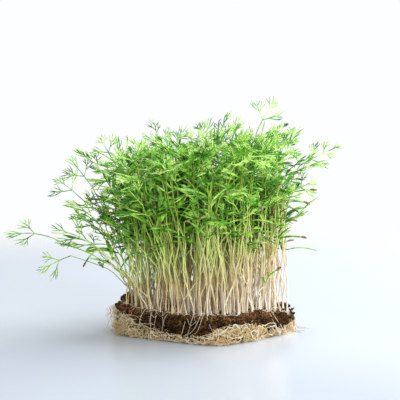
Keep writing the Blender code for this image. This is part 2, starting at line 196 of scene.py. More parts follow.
def pinna(rng, place, angle, length):
    """One branch of a frond. Each lobe is its share along the branch, its side, turn and length."""
    lobes = [
        (0.32, -1, math.radians(rng.uniform(26, 33)), length * rng.uniform(0.52, 0.62)),
        (0.44, 1, math.radians(rng.uniform(26, 33)), length * rng.uniform(0.48, 0.56)),
    ]
    return {"place": place, "angle": angle, "length": length, "lobes": lobes}


def turned(point, angle):
    """A point in a frond's plane turned about the plane's origin."""
    x, y = point
    return (
        x * math.cos(angle) - y * math.sin(angle),
        x * math.sin(angle) + y * math.cos(angle),
    )


def heading_axes(azimuth, rise, roll):
    """Unit vectors along, across and out of a leaf, from where it points and its roll about that."""
    along = Vector(
        (
            math.cos(azimuth) * math.cos(rise),
            math.sin(azimuth) * math.cos(rise),
            math.sin(rise),
        )
    )
    level = Vector((-math.sin(azimuth), math.cos(azimuth), 0))
    across = level * math.cos(roll) + along.cross(level) * math.sin(roll)
    return along, across, along.cross(across)


def frond_point(sprout, u, v, w=0.0):
    """A point of the arched frond, u along its rib, v across it and w out of its face."""
    along, across, normal = heading_axes(*sprout["heading"])
    size = sprout["size"]
    arch = w - (sprout["droop"] * u * abs(u) + sprout["cup"] * v * v) / size
    return sprout["head"] + along * u + across * v + normal * arch


def seed_leaf_point(sprout, leaf, u, v, w=0.0):
    """A point of an arched seed leaf."""
    along, across, normal = heading_axes(*leaf["heading"])
    arch = w - leaf["droop"] * u * abs(u) / leaf["length"] * 0.6
    return stem_point(sprout, sprout["fork"]) + along * u + across * v + normal * arch


def skeleton(sprout):
    """Middle lines of all of a seedling's parts, as rows of two points and a radius."""
    rows = []

    def line(points, radius):
        for start, end in zip(points, points[1:]):
            rows.append((*start, *end, radius))

    line([stem_point(sprout, k / 9) for k in range(10)], STEM_RADIUS)
    for leaf in sprout["seed_leaves"]:
        steps = [leaf["length"] * s for s in (0.0, 0.35, 0.7, 1.1)]
        line([seed_leaf_point(sprout, leaf, u, 0) for u in steps], leaf["width"] / 2)
    rib = [sprout["size"] * s for s in (0.0, 0.33, 0.66, 1.0)]
    line([frond_point(sprout, u, 0) for u in rib], SHOOT_RADIUS)
    for branch in sprout["pinnae"]:
        place = Vector((branch["place"], 0))
        tip = place + Vector(turned((branch["length"], 0), branch["angle"]))
        line([frond_point(sprout, *place), frond_point(sprout, *tip)], SHOOT_RADIUS)
        for share, side, turn, length in branch["lobes"]:
            foot = place.lerp(tip, share)
            end = foot + Vector(turned((length, 0), branch["angle"] + side * turn))
            line([frond_point(sprout, *foot), frond_point(sprout, *end)], SHOOT_RADIUS)
    return np.array(rows)


def least_gap(rows, others):
    """The smallest space between two sets of round bars."""
    a, b = rows[:, None, 0:3], others[None, :, 0:3]
    u, v = rows[:, None, 3:6] - a, others[None, :, 3:6] - b
    r = a - b
    uu, vv, uv = (u * u).sum(2), (v * v).sum(2), (u * v).sum(2)
    ur, vr = (u * r).sum(2), (v * r).sum(2)
    square = np.maximum(uu * vv - uv * uv, 1e-18)
    s = np.clip((uv * vr - ur * vv) / square, 0, 1)
    t = np.clip((uv * s + vr) / vv, 0, 1)
    s = np.clip((uv * t - ur) / uu, 0, 1)
    apart = np.linalg.norm(r + u * s[..., None] - v * t[..., None], axis=2)
    return float((apart - rows[:, None, 6] - others[None, :, 6]).min())


def settle_sprouts():
    """The seedlings that have solids, each drawn again until it stands clear of those before it."""
    rng = random.Random(SEED)
    starts = [(Vector(foot) * MM, head, turn) for foot, head, turn in LEADERS]
    for k in range(SPIRAL_SPROUTS):
        angle = k * GOLDEN_ANGLE
        reach = PLANTED_SHARE * math.sqrt((k + 0.5) / SPIRAL_SPROUTS)
        radius = reach * edge_radius(angle, MAT_HALF)
        starts.append((Vector((math.cos(angle), math.sin(angle))) * radius, None, None))
    settled, taken = [], np.empty((0, 7))
    for foot, head, turn in starts:
        for _ in range(MOST_TRIES):
            spot = foot + Vector((rng.uniform(-1, 1), rng.uniform(-1, 1))) * 2.5 * MM
            sprout = grow_sprout(rng, spot, head, turn)
            near = [(spot - s["collar"].xy).length for s in settled]
            if near and min(near) < LEAST_SPACING:
                continue
            rows = skeleton(sprout)
            if not len(taken) or least_gap(rows, taken) > LEAST_GAP:
                settled.append(sprout)
                taken = np.vstack([taken, rows])
                break
    return settled


# The many seedlings between them

# How many are tried, and where they stand: share of the mat's radius, scatter and least spacing
FILL_SPROUTS = 500
FILL_SEED = 29
FILL_PHASE = 0.37
FILL_SHARE = 0.92
FILL_SCATTER = 1.2 * MM
FILL_SPACING = 1.4 * MM
FILL_PIECES = 8

# How their heads stray from the rule's place, sideways and upwards
HEAD_STRAY = 8 * MM
HEAD_SHIFT = (-17 * MM, 8 * MM)

# Outline of the tuft that their heads keep to: share of the mat's radius, its right end, its left
# end above a height, and a ceiling that rises to the right. Near the right end they grow upright
FILL_REACH = 1.10
FILL_RIGHT = 45 * MM
UPRIGHT_FROM = 27 * MM
UPRIGHT_RISE = (1.0, 1.5)
FILL_LEFT = -46 * MM
FILL_LEFT_ABOVE = 75 * MM
FILL_END_SCATTER = 6 * MM
FILL_CEILING = 106 * MM
CEILING_TILT = 0.05
CEILING_SCATTER = 5 * MM

# Those at the front stand higher and part their leaves higher up
FRONT_SHARE = 0.35
FRONT_LIFT = (2 * MM, 14 * MM)
FRONT_FORK = (0.55, 0.9)

# Those at the left are taller, and some of them lean far out
LEFT_RISE = 12 * MM
LEAN_START = 0.3
LEFT_LEAN = 34 * MM
LEAN_DROP = 0.9

# Their stems sway more, and many have small fronds
FILL_SWAY = 1.7
FILL_TURNS = (0.9, 1.5)
FILL_BOW = (0.9, 1.6)
SMALL_SHARE = 0.40
SMALL_SIZE = (0.35, 0.6)

# Seedlings that hold their seed husks out of the tuft: foot in plan and head in mm, height of the
# fork in mm, the husked seed leaf's heading and rise in degrees, and its length in mm
HUSK_HOLDERS = (
    ((36, -2), (52, -4, 97), 84, (0, 20), 15),
    ((38, -10), (47, -12, 92), 81, (-10, 6), 14),
    ((33, -14), (43, -18, 90), 80, (-20, -8), 13),
    ((38, -9), (46, -10, 76), 58, (-5, 12), 15),
    ((37, 0), (45, -2, 80), 60, (0, -52), 9),
    ((31, -26), (35, -28, 38), 33, (-8, 60), 11),
    ((-15, -36), (22, -40, 72), 64, (15, 5), 13),
    ((-36, -8), (-60, -12, 92), 86, (186, -48), 13),
    ((-38, -10), (-72, -14, 58), 52, (190, -38), 11),
    ((2, -38), (4, -44, 92), 84, (-70, -30), 12),
    ((-20, -34), (-24, -40, 88), 78, (-110, -25), 12),
    ((24, -34), (28, -38, 94), 86, (-60, -20), 12),
)
# Rise and roll of their fronds in degrees, and the head's height in mm below which the frond is
# smaller
HOLDER_RISE = 65
HOLDER_ROLL = 30
FULL_FROND_HEAD = 90


def place_head(sprout, foot, rng):
    """Moves a filling seedling's head off the rule's place and into the tuft's outline."""
    head = sprout["head"]
    head += Vector((rng.gauss(0, HEAD_STRAY), rng.gauss(0, HEAD_STRAY), rng.uniform(*HEAD_SHIFT)))
    edge = edge_radius(math.atan2(head.y, head.x), MAT_HALF)
    head.xy *= min(FILL_REACH * edge / head.xy.length, 1)
    if -foot.y > FRONT_SHARE * MAT_HALF:
        head.z += rng.uniform(*FRONT_LIFT)
        sprout["fork"] = sprout["split"] + (1 - sprout["split"]) * rng.uniform(*FRONT_FORK)
    if head.x > UPRIGHT_FROM:
        head.x = min(head.x, FILL_RIGHT - rng.uniform(0, FILL_END_SCATTER))
        azimuth = sprout["heading"][0]
        sprout["heading"] = (azimuth, rng.uniform(*UPRIGHT_RISE), rng.uniform(-1, 1))
    if foot.x < 0:
        head.z -= LEFT_RISE * foot.x / MAT_HALF
    ceiling = FILL_CEILING + CEILING_TILT * head.x
    head.z = min(head.z, ceiling - rng.uniform(0, CEILING_SCATTER))
    lean = max(-foot.x / MAT_HALF - LEAN_START, 0) * rng.uniform(0, 1) ** 2 * LEFT_LEAN
    head -= Vector((lean, 0, LEAN_DROP * lean))
    if head.z > FILL_LEFT_ABOVE:
        head.x = max(head.x, FILL_LEFT + rng.uniform(0, FILL_END_SCATTER))


def fill_sprouts(taken_feet):
    """The seedlings that fill the tuft, closer together than the solids can stand."""
    rng = random.Random(FILL_SEED)
    feet, sprouts = list(taken_feet), []
    for k in range(FILL_SPROUTS):
        angle = (k + FILL_PHASE) * GOLDEN_ANGLE
        radius = FILL_SHARE * math.sqrt((k + 0.5) / FILL_SPROUTS) * edge_radius(angle, MAT_HALF)
        foot = Vector((math.cos(angle), math.sin(angle))) * radius
        foot += Vector((rng.gauss(0, 1), rng.gauss(0, 1))) * FILL_SCATTER
        rim = FILL_SHARE * edge_radius(math.atan2(foot.y, foot.x), MAT_HALF)
        foot *= min(rim / foot.length, 1)
        if min((foot - other).length for other in feet) < FILL_SPACING:
            continue
        feet.append(foot)
        sprout = grow_sprout(rng, foot)
        place_head(sprout, foot, rng)
        sprout["sway"] *= FILL_SWAY
        sprout["turns"] *= rng.uniform(*FILL_TURNS)
        sprout["bow"] = rng.uniform(*FILL_BOW)
        if rng.random() < SMALL_SHARE:
            sprout["size"] *= rng.uniform(*SMALL_SIZE)
            sprout["pinnae"] = frond_layout(rng, sprout["size"], 1)
        sprouts.append(sprout)
    return sprouts


def husk_holders():
    """The seedlings whose husked seed leaves stand out of the tuft."""
    rng = random.Random(FILL_SEED + 1)
    sprouts = []
    for foot, head, fork_height, (azimuth, rise), length in HUSK_HOLDERS:
        sprout = grow_sprout(rng, Vector(foot) * MM, head, (azimuth, HOLDER_RISE, HOLDER_ROLL))
        collar = sprout["collar"].z
        share = (fork_height * MM - collar) / (sprout["head"].z - collar)
        sprout["fork"] = max(share, sprout["split"] + 0.02)
        sprout["size"] *= min(head[2] / FULL_FROND_HEAD, 1) ** 2
        sprout["pinnae"] = frond_layout(rng, sprout["size"], 1)
        leaf = sprout["seed_leaves"][0]
        leaf["heading"] = (math.radians(azimuth), math.radians(rise), rng.uniform(-0.5, 0.5))
        leaf["length"] = length * MM
        leaf["droop"] = 0.3
        sprout["husk"] = True
        sprouts.append(sprout)
    return sprouts


# Strands and meshes


def add_object(name, data):
    """An object made from its data and linked to the scene."""
    made = bpy.data.objects.new(name, data)
    bpy.context.scene.collection.objects.link(made)
    return made


def strands_mesh(name, strands, sides):
    """One mesh of round, tapering strands. A strand is a list of points with their radii."""
    curve = bpy.data.curves.new(name, "CURVE")
    curve.dimensions = "3D"
    curve.bevel_depth = 1.0
    curve.bevel_resolution = (sides - 4) // 2
    curve.use_fill_caps = True
    for strand in strands:
        spline = curve.splines.new("POLY")
        spline.points.add(len(strand) - 1)
        for knot, (point, radius) in zip(spline.points, strand):
            knot.co = (*point, 1)
            knot.radius = radius
    holder = add_object(name, curve)
    graph = bpy.context.evaluated_depsgraph_get()
    mesh = bpy.data.meshes.new_from_object(holder.evaluated_get(graph))
    bpy.data.objects.remove(holder)
    bpy.data.curves.remove(curve)
    return mesh


def bm_mesh(name, bm):
    """The bmesh as mesh data, freed."""
    mesh = bpy.data.meshes.new(name)
    bm.to_mesh(mesh)
    bm.free()
    return mesh


def add_piece(name, parts, materials, replaced=()):
    """A finished piece of the object from meshes, each with the index of its material."""
    bm = bmesh.new()
    for mesh, index in parts:
        before = len(bm.faces)
        bm.from_mesh(mesh)
        bm.faces.ensure_lookup_table()
        for face in bm.faces[before:]:
            face.material_index = index
            face.smooth = True
        bpy.data.meshes.remove(mesh)
    bmesh.ops.recalc_face_normals(bm, faces=bm.faces)
    piece = add_object(name, bm_mesh(name, bm))
    for material in materials:
        piece.data.materials.append(material)
    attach(piece, "root")
    if replaced:
        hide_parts(*replaced)


def tapered(points, radii):
    """The points with their radii, for strands_mesh."""
    return list(zip(points, radii))


# Seedlings

# Radii of a stem at its foot and its top, of a frond's rib, of a leaf segment and of a young
# frond's stalk
STEM_FOOT = 0.38 * MM
STEM_TOP = 0.32 * MM
PETIOLE = 0.30 * MM
SEGMENT = 0.29 * MM
YOUNG_STALK = 0.34 * MM

# How far a stem waves and how often, and how deep it stands in the soil
STEM_WIGGLE = 3.0 * MM
STEM_WAVES = 4.5
STEM_SINK = 4 * MM

LEAF_THICKNESS = 0.32 * MM
TOOTH_SHARE = 0.55

# Share of the seedlings with a second frond, and how far the fronds' branches leave their plane:
# those that have solids, and those that fill the tuft
SOLID_SECOND_SHARE = 0.35
SOLID_LOOSENESS = 0.3
FILL_SECOND_SHARE = 0.30
FILL_LOOSENESS = 1.0


def wavy_stem_point(sprout, t):
    """A point of the stem with the small waves that grown stems have."""
    point = stem_point(sprout, t)
    spot = Vector((sprout["collar"].x / MM, sprout["collar"].y / MM, STEM_WAVES * t))
    wave = Vector((noise.noise(spot), noise.noise(spot + Vector((40, 0, 0))), 0))
    return point + wave * STEM_WIGGLE * min(3 * t, 1) * min(3 * (1 - t), 1)


def girth(sprout):
    """How thick a seedling's stem is, against the common measure."""
    return 1 + 0.25 * math.sin(sprout["collar"].x * 9000 + sprout["collar"].y * 7000)


def lower_stem(sprout):
    """The pale part of a stem, from inside the soil to where it turns green."""
    collar = sprout["collar"]
    foot = Vector((collar.x, collar.y, collar.z - STEM_SINK))
    shares = [sprout["split"] * (k / 11) ** 1.25 for k in range(12)]
    points = [foot, *(wavy_stem_point(sprout, t) for t in shares)]
    radii = [STEM_FOOT * 1.7, STEM_FOOT * 1.5]
    radii += [STEM_FOOT + (STEM_TOP - STEM_FOOT) * t for t in shares[1:]]
    return tapered(points, [girth(sprout) * radius for radius in radii])


def upper_stem(sprout):
    """The green part of a stem, up to the foot of its frond."""
    start = sprout["split"]
    shares = [start + (1 - start) * k / 8 for k in range(9)]
    radii = [
        girth(sprout) * (STEM_FOOT + (STEM_TOP - STEM_FOOT) * t) if t < sprout["fork"] else PETIOLE
        for t in shares
    ]
    return tapered([wavy_stem_point(sprout, t) for t in shares], radii)


def segment(sprout, foot, angle, length, width, bend, root, tilt):
    """A linear leaf segment that tapers to a point, bent in the frond's plane, on a branch that
    tilts out of it from its root."""
    bend += angle * 0.12
    strand = []
    for share, radius in ((0, 0.75), (0.45, 1.0), (0.8, 0.72), (1.0, 0.16)):
        spot = foot + Vector(turned((length * share, 0), angle - bend * share * share))
        out = tilt * (spot - root).length
        strand.append((frond_point(sprout, *spot, out), radius * width))
    return strand


def frond_strands(sprout, rng, looseness):
    """All strands of a feathery frond: rib, branches, lobes and the teeth of the inner lobes."""
    last = max(branch["place"] for branch in sprout["pinnae"])
    rib = [frond_point(sprout, last * k / 4, 0) for k in range(5)]
    strands = [tapered(rib, [PETIOLE * (1 - 0.06 * k) for k in range(5)])]
    for branch in sprout["pinnae"]:
        place, angle, length = Vector((branch["place"], 0)), branch["angle"], branch["length"]
        tip = place + Vector(turned((length, 0), angle))
        tilt = rng.gauss(0, 0.5) * looseness
        strands.append(segment(sprout, place, angle, length, SEGMENT * 1.08, 0, place, tilt))
        lobes = list(branch["lobes"])
        lobes += [
            (0.58, -1, math.radians(28), length * rng.uniform(0.34, 0.42)),
            (0.70, 1, math.radians(25), length * rng.uniform(0.30, 0.38)),
        ]
        for share, side, turn, reach in lobes:
            foot = place.lerp(tip, share)
            heading = angle + side * turn
            bend = rng.gauss(0, 0.3) * looseness
            strands.append(segment(sprout, foot, heading, reach, SEGMENT, bend, place, tilt))
            if share > 0.5:
                continue  # the outer lobes have no teeth
            end = foot + Vector(turned((reach, 0), heading))
            for step, way in ((0.30, side), (0.48, -side)):
                if rng.random() > TOOTH_SHARE:
                    continue
                tooth = reach * rng.uniform(0.5, 0.66)
                spot = foot.lerp(end, step)
                veer = heading + way * rng.uniform(0.38, 0.58)
                strands.append(
                    segment(sprout, spot, veer, tooth, SEGMENT * 0.92, bend, place, tilt)
                )
    return strands


def leaf_width(share):
    """Half width of a seed leaf, as a share of its widest, from stalk to tip."""
    stalk = min(1.0, 0.30 + 2.3 * share * share + 0.9 * share)
    return stalk * math.sqrt(max(1 - share**5, 0.0)) + 0.02


def add_seed_leaf(bm, sprout, leaf):
    """A narrow seed leaf, folded a little along its middle vein."""
    half = leaf["width"] / 2
    grid = bmesh.ops.create_grid(bm, x_segments=8, y_segments=2, size=0.5)["verts"]
    for vertex in grid:
        share = vertex.co.x + 0.5
        side = vertex.co.y * 2
        across = side * half * leaf_width(share)
        fold = abs(across) * 0.35
        vertex.co = seed_leaf_point(sprout, leaf, share * leaf["length"], across, fold)
    faces = list(dict.fromkeys(face for vertex in grid for face in vertex.link_faces))
    bmesh.ops.recalc_face_normals(bm, faces=faces)
    bmesh.ops.solidify(bm, geom=faces, thickness=LEAF_THICKNESS)


def add_husk(bm, sprout, leaf, rng):
    """The seed's empty brown coat, pinched on the tip of a seed leaf."""
    made = bmesh.ops.create_uvsphere(bm, u_segments=10, v_segments=6, radius=1)["verts"]
    long, wide, deep = rng.uniform(1.7, 2.1), rng.uniform(0.85, 1.05), rng.uniform(0.65, 0.8)
    for vertex in made:
        u, v, w = vertex.co.z, vertex.co.x, vertex.co.y
        ridge = 1 + 0.10 * math.cos(5 * math.atan2(w, v))
        vertex.co = seed_leaf_point(
            sprout,
            leaf,
            leaf["length"] + (u * long + 0.6) * MM,
            v * wide * ridge * MM,
            w * deep * ridge * MM,
        )


def young_frond(sprout, rng):
    """A second, smaller frond that starts at the fork, given as a seedling's measures."""
    small = dict(sprout)
    small["head"] = stem_point(sprout, sprout["fork"]) + Vector((0, 0, rng.uniform(7, 16) * MM))
    small["head"] += Vector((rng.gauss(0, 3), rng.gauss(0, 3), 0)) * MM
    small["size"] = rng.uniform(9, 15) * MM
    small["heading"] = (rng.uniform(0, math.tau), rng.uniform(0.5, 1.3), rng.uniform(-1, 1))
    small["pinnae"] = frond_layout(rng, small["size"], 1)
    return small


def shoot_parts(name, sprouts, rng, second_share, looseness):
    """Meshes of the green tops of some seedlings, with their material index: stem, leaf, husk."""
    stems, fronds = [], []
    leaves, husks = bmesh.new(), bmesh.new()
    for sprout in sprouts:
        stems.append(upper_stem(sprout))
        fronds += frond_strands(sprout, rng, looseness)
        if rng.random() < second_share:
            young = young_frond(sprout, rng)
            start = stem_point(sprout, sprout["fork"])
            stalk = [start.lerp(young["head"], k / 3) for k in range(4)]
            stems.append(tapered(stalk, [YOUNG_STALK] * 4))
            fronds += frond_strands(young, rng, looseness)
        for leaf in sprout["seed_leaves"]:
            add_seed_leaf(leaves, sprout, leaf)
        if sprout["husk"]:
            add_husk(husks, sprout, sprout["seed_leaves"][0], rng)
    return [
        (strands_mesh(name + "_stems", stems, 6), 0),
        (strands_mesh(name + "_fronds", fronds, 4), 1),
        (bm_mesh(name + "_leaves", leaves), 1),
        (bm_mesh(name + "_husks", husks), 2),
    ]


# Soil

# Each ring of a slab: share of the way out to the edge, and level from underside 0 to top 1
SOIL_RINGS = (
    (0.30, 1.0),
    (0.62, 1.0),
    (0.86, 1.0),
    (0.96, 0.97),
    (1.0, 0.72),
    (0.985, 0.38),
    (0.94, 0.0),
    (0.55, 0.0),
)
ROOT_RINGS = ((0.6, 1.0), (0.93, 1.0), (1.0, 0.62), (0.99, 0.25), (0.9, 0.0), (0.5, 0.0))
SOIL_COLUMNS = 72
ROOT_COLUMNS = 64
SOIL_WANDER = 2.2 * MM
ROOT_WANDER = 3 * MM

# How far the soil reaches down behind the roots' edge, and the felted pad stands inside the mat's
SOIL_LAP = 1.2 * MM
ROOT_PAD_INSET = 4.2 * MM


def slab_bmesh(half, rings, columns, top, bottom, wander):
    """A closed slab with the mat's plan, from a sphere whose rings are spread flat."""
    bm = bmesh.new()
    bmesh.ops.create_uvsphere(bm, u_segments=columns, v_segments=len(rings) + 1, radius=1)
    profile = [(0.0, 1.0), *rings, (0.0, 0.0)]
    for vertex in bm.verts:
        ring = round(math.acos(max(-1, min(1, vertex.co.z))) / math.pi * (len(rings) + 1))
        share, level = profile[ring]
        angle = math.atan2(vertex.co.y, vertex.co.x)
        radius = share * edge_radius(angle, half)
        if 0 < level < 1:
            spot = Vector((math.cos(angle) * 4, math.sin(angle) * 4, level * 1.5))
            radius += wander * noise.noise(spot)
        x, y = radius * math.cos(angle), radius * math.sin(angle)
        vertex.co = (x, y, bottom(x, y) + level * (top(x, y) - bottom(x, y)))
    return bm


def roughen(bm, coarse, fine, lift=0.0, floor=None):
    """Pushes a slab's skin in and out with a coarse and a fine noise."""
    bm.normal_update()
    pushes = []
    for vertex in bm.verts:
        spot = vertex.co / MM
        lumps = noise.fractal(spot / 7.5, 0.9, 2.1, 4)
        grit = noise.noise(spot / 1.6)
        pits = min(noise.noise(spot / 4.2 + Vector((31, 7, 3))) + 0.25, 0.0)
        pushes.append(vertex.normal * (coarse * lumps + fine * grit + 3.2 * coarse * pits + lift))
    for vertex, push in zip(bm.verts, pushes):
        vertex.co += push
        if floor is not None:
            vertex.co.z = max(vertex.co.z, floor)


# Height of the roots' upper edge along the mat, in mm: curled up at the left end, low under the
# thick soil and high right of the middle
ROOT_EDGE = (
    (-54, 15.0),
    (-47, 11.5),
    (-40, 6.5),
    (-26, 3.2),
    (-2, 3.4),
    (8, 9.5),
    (20, 10.8),
    (31, 8.5),
    (40, 4.6),
    (54, 4.4),
)


def root_top(x):
    """Height of the roots' upper edge as it shows round the mat."""
    places, heights = zip(*ROOT_EDGE)
    ripple = 0.9 * noise.noise(Vector((x / (5 * MM), 3, 8)))
    return (float(np.interp(x / MM, places, heights)) + ripple) * MM


def soil_mesh():
    """The soil slab, broken up into lumps and pits."""
    bm = slab_bmesh(
        MAT_HALF,
        SOIL_RINGS,
        SOIL_COLUMNS,
        soil_top,
        lambda x, y: root_top(x) - SOIL_LAP,
        SOIL_WANDER,
    )
    bmesh.ops.subdivide_edges(bm, edges=bm.edges, cuts=2, use_grid_fill=True)
    roughen(bm, 0.42 * MM, 0.22 * MM, lift=0.2 * MM)
    return bm_mesh("soil_skin", bm)


def edge_spot(rng, inner, outer):
    """A random place in plan between two shares of the mat's radius, as x and y."""
    angle = rng.uniform(0, math.tau)
    share = math.sqrt(rng.uniform(inner**2, outer**2))
    radius = share * edge_radius(angle, MAT_HALF)
    return radius * math.cos(angle), radius * math.sin(angle)


CRUMBS = 620
SIDE_CRUMB_SHARE = 0.42


def crumbs_mesh(rng):
    """Loose crumbs of soil on the slab's top and pressed into its sides."""
    bm = bmesh.new()
    for _ in range(CRUMBS):
        x, y = edge_spot(rng, 0.25, 1.0)
        size = 0.35 * MM + abs(rng.gauss(0, 0.45)) * MM
        top = soil_top(x, y) + size * 0.25
        spot = Vector((x, y, top))
        if rng.random() < SIDE_CRUMB_SHARE:
            angle = math.atan2(y, x)
            radius = edge_radius(angle, MAT_HALF) - 0.3 * MM
            low = min(root_top(x), top - 2 * size)
            spot = Vector(
                (radius * math.cos(angle), radius * math.sin(angle), rng.uniform(low, top - size))
            )
        made = bmesh.ops.create_icosphere(bm, subdivisions=1, radius=size)["verts"]
        for vertex in made:
            bumps = 1 + 0.55 * noise.noise(vertex.co / size * 1.3 + spot * 900)
            vertex.co = spot + Vector((vertex.co.x, vertex.co.y, vertex.co.z * 0.75)) * bumps
    return bm_mesh("crumbs", bm)


# Lumps that stand out of the slab: place in mm, half sizes in mm
LUMPS = (
    ((42, -12, 9.2), (8.0, 5.5, 4.6)),
    ((45, 9, 14.6), (6.5, 6.0, 2.2)),
    ((-47, 1, 20.5), (4.0, 5.0, 3.6)),
    ((20, 38, 15.5), (7.5, 6.0, 3.0)),
)


def lumps_mesh():
    """The bigger clods, torn at their edges."""
    bm = bmesh.new()
    for place, half in LUMPS:
        made = bmesh.ops.create_icosphere(bm, subdivisions=4, radius=1)["verts"]
        for vertex in made:
            spot = vertex.co.copy()
            bumps = 1 + 0.30 * noise.fractal(spot * 1.4 + Vector(place), 0.8, 2.2, 4)
            stretched = Vector(value * reach for value, reach in zip(spot, half))
            vertex.co = (Vector(place) + stretched * bumps) * MM
    return bm_mesh("clods", bm)


# Fibres on the soil: brown threads, and pale rootlets near the rim
THREADS = 420
THREAD_RADIUS = 0.16 * MM
ROOTLETS = 300
ROOTLET_RADIUS = 0.14 * MM
FIBRE_STEPS = 7


def lying_fibre(rng, length, radius, start):
    """A fibre that lies on the soil and follows its top or hangs over its edge."""
    x, y = start
    way = rng.uniform(0, math.tau)
    bend = rng.gauss(0, 1.4)
    lift = rng.uniform(0.1, 0.9) * MM
    strand = []
    for k in range(FIBRE_STEPS + 1):
        t = k / FIBRE_STEPS
        edge = edge_radius(math.atan2(y, x), MAT_HALF)
        over = max(math.hypot(x, y) - edge * 0.965, 0.0)
        z = soil_top(x, y) + lift * (1 + math.sin(6 * t + bend)) - 2.0 * over
        strand.append((Vector((x, y, max(z, 1.0 * MM))), radius * (1 - 0.55 * t)))
        x += math.cos(way) * length / FIBRE_STEPS
        y += math.sin(way) * length / FIBRE_STEPS
        way += bend / FIBRE_STEPS + rng.gauss(0, 0.25)
    return strand


def lying_fibres(rng, count, radius, lengths, shares):
    """Fibres of lengths between two values in mm, that start between two shares of the mat."""
    drawn = [rng.uniform(*lengths) * MM for _ in range(count)]
    return [lying_fibre(rng, length, radius, edge_spot(rng, *shares)) for length in drawn]


# Roots

# Fine roots all round, those of the brush at the left end, thicker loops, and the length between
# two points of each
ROOT_CURLS = 900
LEFT_CURLS = 170
ROOT_LOOPS = 110
CURL_STEP = 1.15 * MM

# How thick the golden roots grow along the front of the mat, at places in mm along X, and behind
ROOT_GROWTH = (
    (-55, 1.3),
    (-42, 1.1),
    (-33, 0.7),
    (-20, 0.35),
    (-2, 0.3),
    (7, 1.3),
    (22, 1.3),
    (27, 0.7),
    (36, 0.5),
    (55, 0.7),
)
MOST_GROWTH = 1.3
BACK_GROWTH = 0.9


def root_curl(rng, angle, reach, radius, bend, points=14):
    """A root that winds over the side of the mat's foot and wanders off it by its reach. Its
    steady turn at each step is at most bend."""
    rim = edge_radius(angle, MAT_HALF) * math.cos(angle)
    height = root_top(rim) * rng.uniform(0.0, 1.1)
    out = rng.uniform(-3.6, 0.4) * MM
    way = rng.uniform(0, math.tau)
    curve = rng.choice((-1, 1)) * rng.uniform(0.1, bend)
    strand = []
    for k in range(points):
        t = k / (points - 1)
        edge = edge_radius(angle, MAT_HALF) + out
        x, y = edge * math.cos(angle), edge * math.sin(angle)
        strand.append((Vector((x, y, max(height, radius))), radius * (1 - 0.5 * t)))
        angle += math.cos(way) * CURL_STEP / edge
        height += math.sin(way) * CURL_STEP
        if height > root_top(x) + 1.2 * MM:
            way = -abs(math.sin(way))
        elif height < 0.5 * MM:
            height = rng.uniform(0.1, 1.5) * MM
            way = rng.uniform(-0.6, 1.2)
        out += rng.gauss(0, 0.5) * MM + reach / points
        out = min(out, 0.6 * MM + reach)
        way += curve + rng.gauss(0, 0.2)
        if rng.random() < 0.10:
            curve = -curve
    return strand


def root_strands(rng):
    """The fine golden felt round the foot of the mat, with a brush at its left end."""
    strands = []
    while len(strands) < ROOT_CURLS:
        angle = rng.uniform(0, math.tau)
        x = edge_radius(angle, MAT_HALF) * math.cos(angle)
        growth = float(np.interp(x / MM, *zip(*ROOT_GROWTH)))
        if math.sin(angle) > 0.2:
            growth = BACK_GROWTH
        if rng.uniform(0, MOST_GROWTH) > growth:
            continue
        reach = max(rng.gauss(0, 1.6), 0) * MM
        radius = rng.uniform(0.12, 0.20) * MM
        strands.append(root_curl(rng, angle, reach, radius, 0.6))
    for _ in range(LEFT_CURLS):
        reach = rng.uniform(0, 8) * MM
        radius = rng.uniform(0.10, 0.16) * MM
        strands.append(root_curl(rng, math.pi + rng.gauss(0.16, 0.17), reach, radius, 0.4))
    return strands


def loop_strands(rng):
    """The thicker, paler roots that loop out along the front and the sides."""
    strands = []
    for k in range(ROOT_LOOPS):
        angle = math.tau * (k + rng.uniform(-0.4, 0.4)) / ROOT_LOOPS
        reach = rng.uniform(1, 4) * MM
        radius = rng.uniform(0.19, 0.32) * MM
        strands.append(root_curl(rng, angle, reach, radius, 0.45, points=18))
    return strands


def root_pad_mesh():
    """The felted pad of roots under the soil, flat where it lies."""
    bm = slab_bmesh(
        MAT_HALF - ROOT_PAD_INSET,
        ROOT_RINGS,
        ROOT_COLUMNS,
        lambda x, y: root_top(x),
        lambda x, y: 0.0,
        ROOT_WANDER,
    )
    bmesh.ops.subdivide_edges(bm, edges=bm.edges, cuts=2, use_grid_fill=True)
    roughen(bm, 0.45 * MM, 0.30 * MM, floor=0.0)
    return bm_mesh("root_pad_skin", bm)


# Finishes


def add_node(tree, kind, inputs=None, **settings):
    """A shader node with some settings. Each input takes a value or the output of another node."""
    made = tree.nodes.new(kind)
    for name, value in settings.items():
        setattr(made, name, value)
    for socket, value in (inputs or {}).items():
        if isinstance(value, bpy.types.NodeSocket):
            tree.links.new(value, made.inputs[socket])
        else:
            made.inputs[socket].default_value = value
    return made


def new_finish(name, roughness, specular=0.35, subsurface=0.0, scatter=(1.0, 0.6, 0.3)):
    """A material with its shader's plain values set, its tree and its object coordinates."""
    material = bpy.data.materials.new(name)
    material.use_nodes = True
    tree = material.node_tree
    shader = tree.nodes["Principled BSDF"]
    shader.inputs["Roughness"].default_value = roughness
    shader.inputs["Specular IOR Level"].default_value = specular
    if subsurface:
        shader.inputs["Subsurface Weight"].default_value = subsurface
        shader.inputs["Subsurface Radius"].default_value = scatter
        shader.inputs["Subsurface Scale"].default_value = 1.2 * MM
    place = add_node(tree, "ShaderNodeTexCoord").outputs["Object"]
    return material, tree, shader, place


def noise_value(tree, place, scale, detail=3.0, distortion=0.0, stretch=None):
    """A noise of object coordinates; stretch scales its axes first."""
    if stretch:
        mapping = add_node(tree, "ShaderNodeMapping", {"Vector": place, "Scale": stretch})
        place = mapping.outputs["Vector"]
    inputs = {"Vector": place, "Scale": scale, "Detail": detail, "Distortion": distortion}
    return add_node(tree, "ShaderNodeTexNoise", inputs).outputs["Fac"]


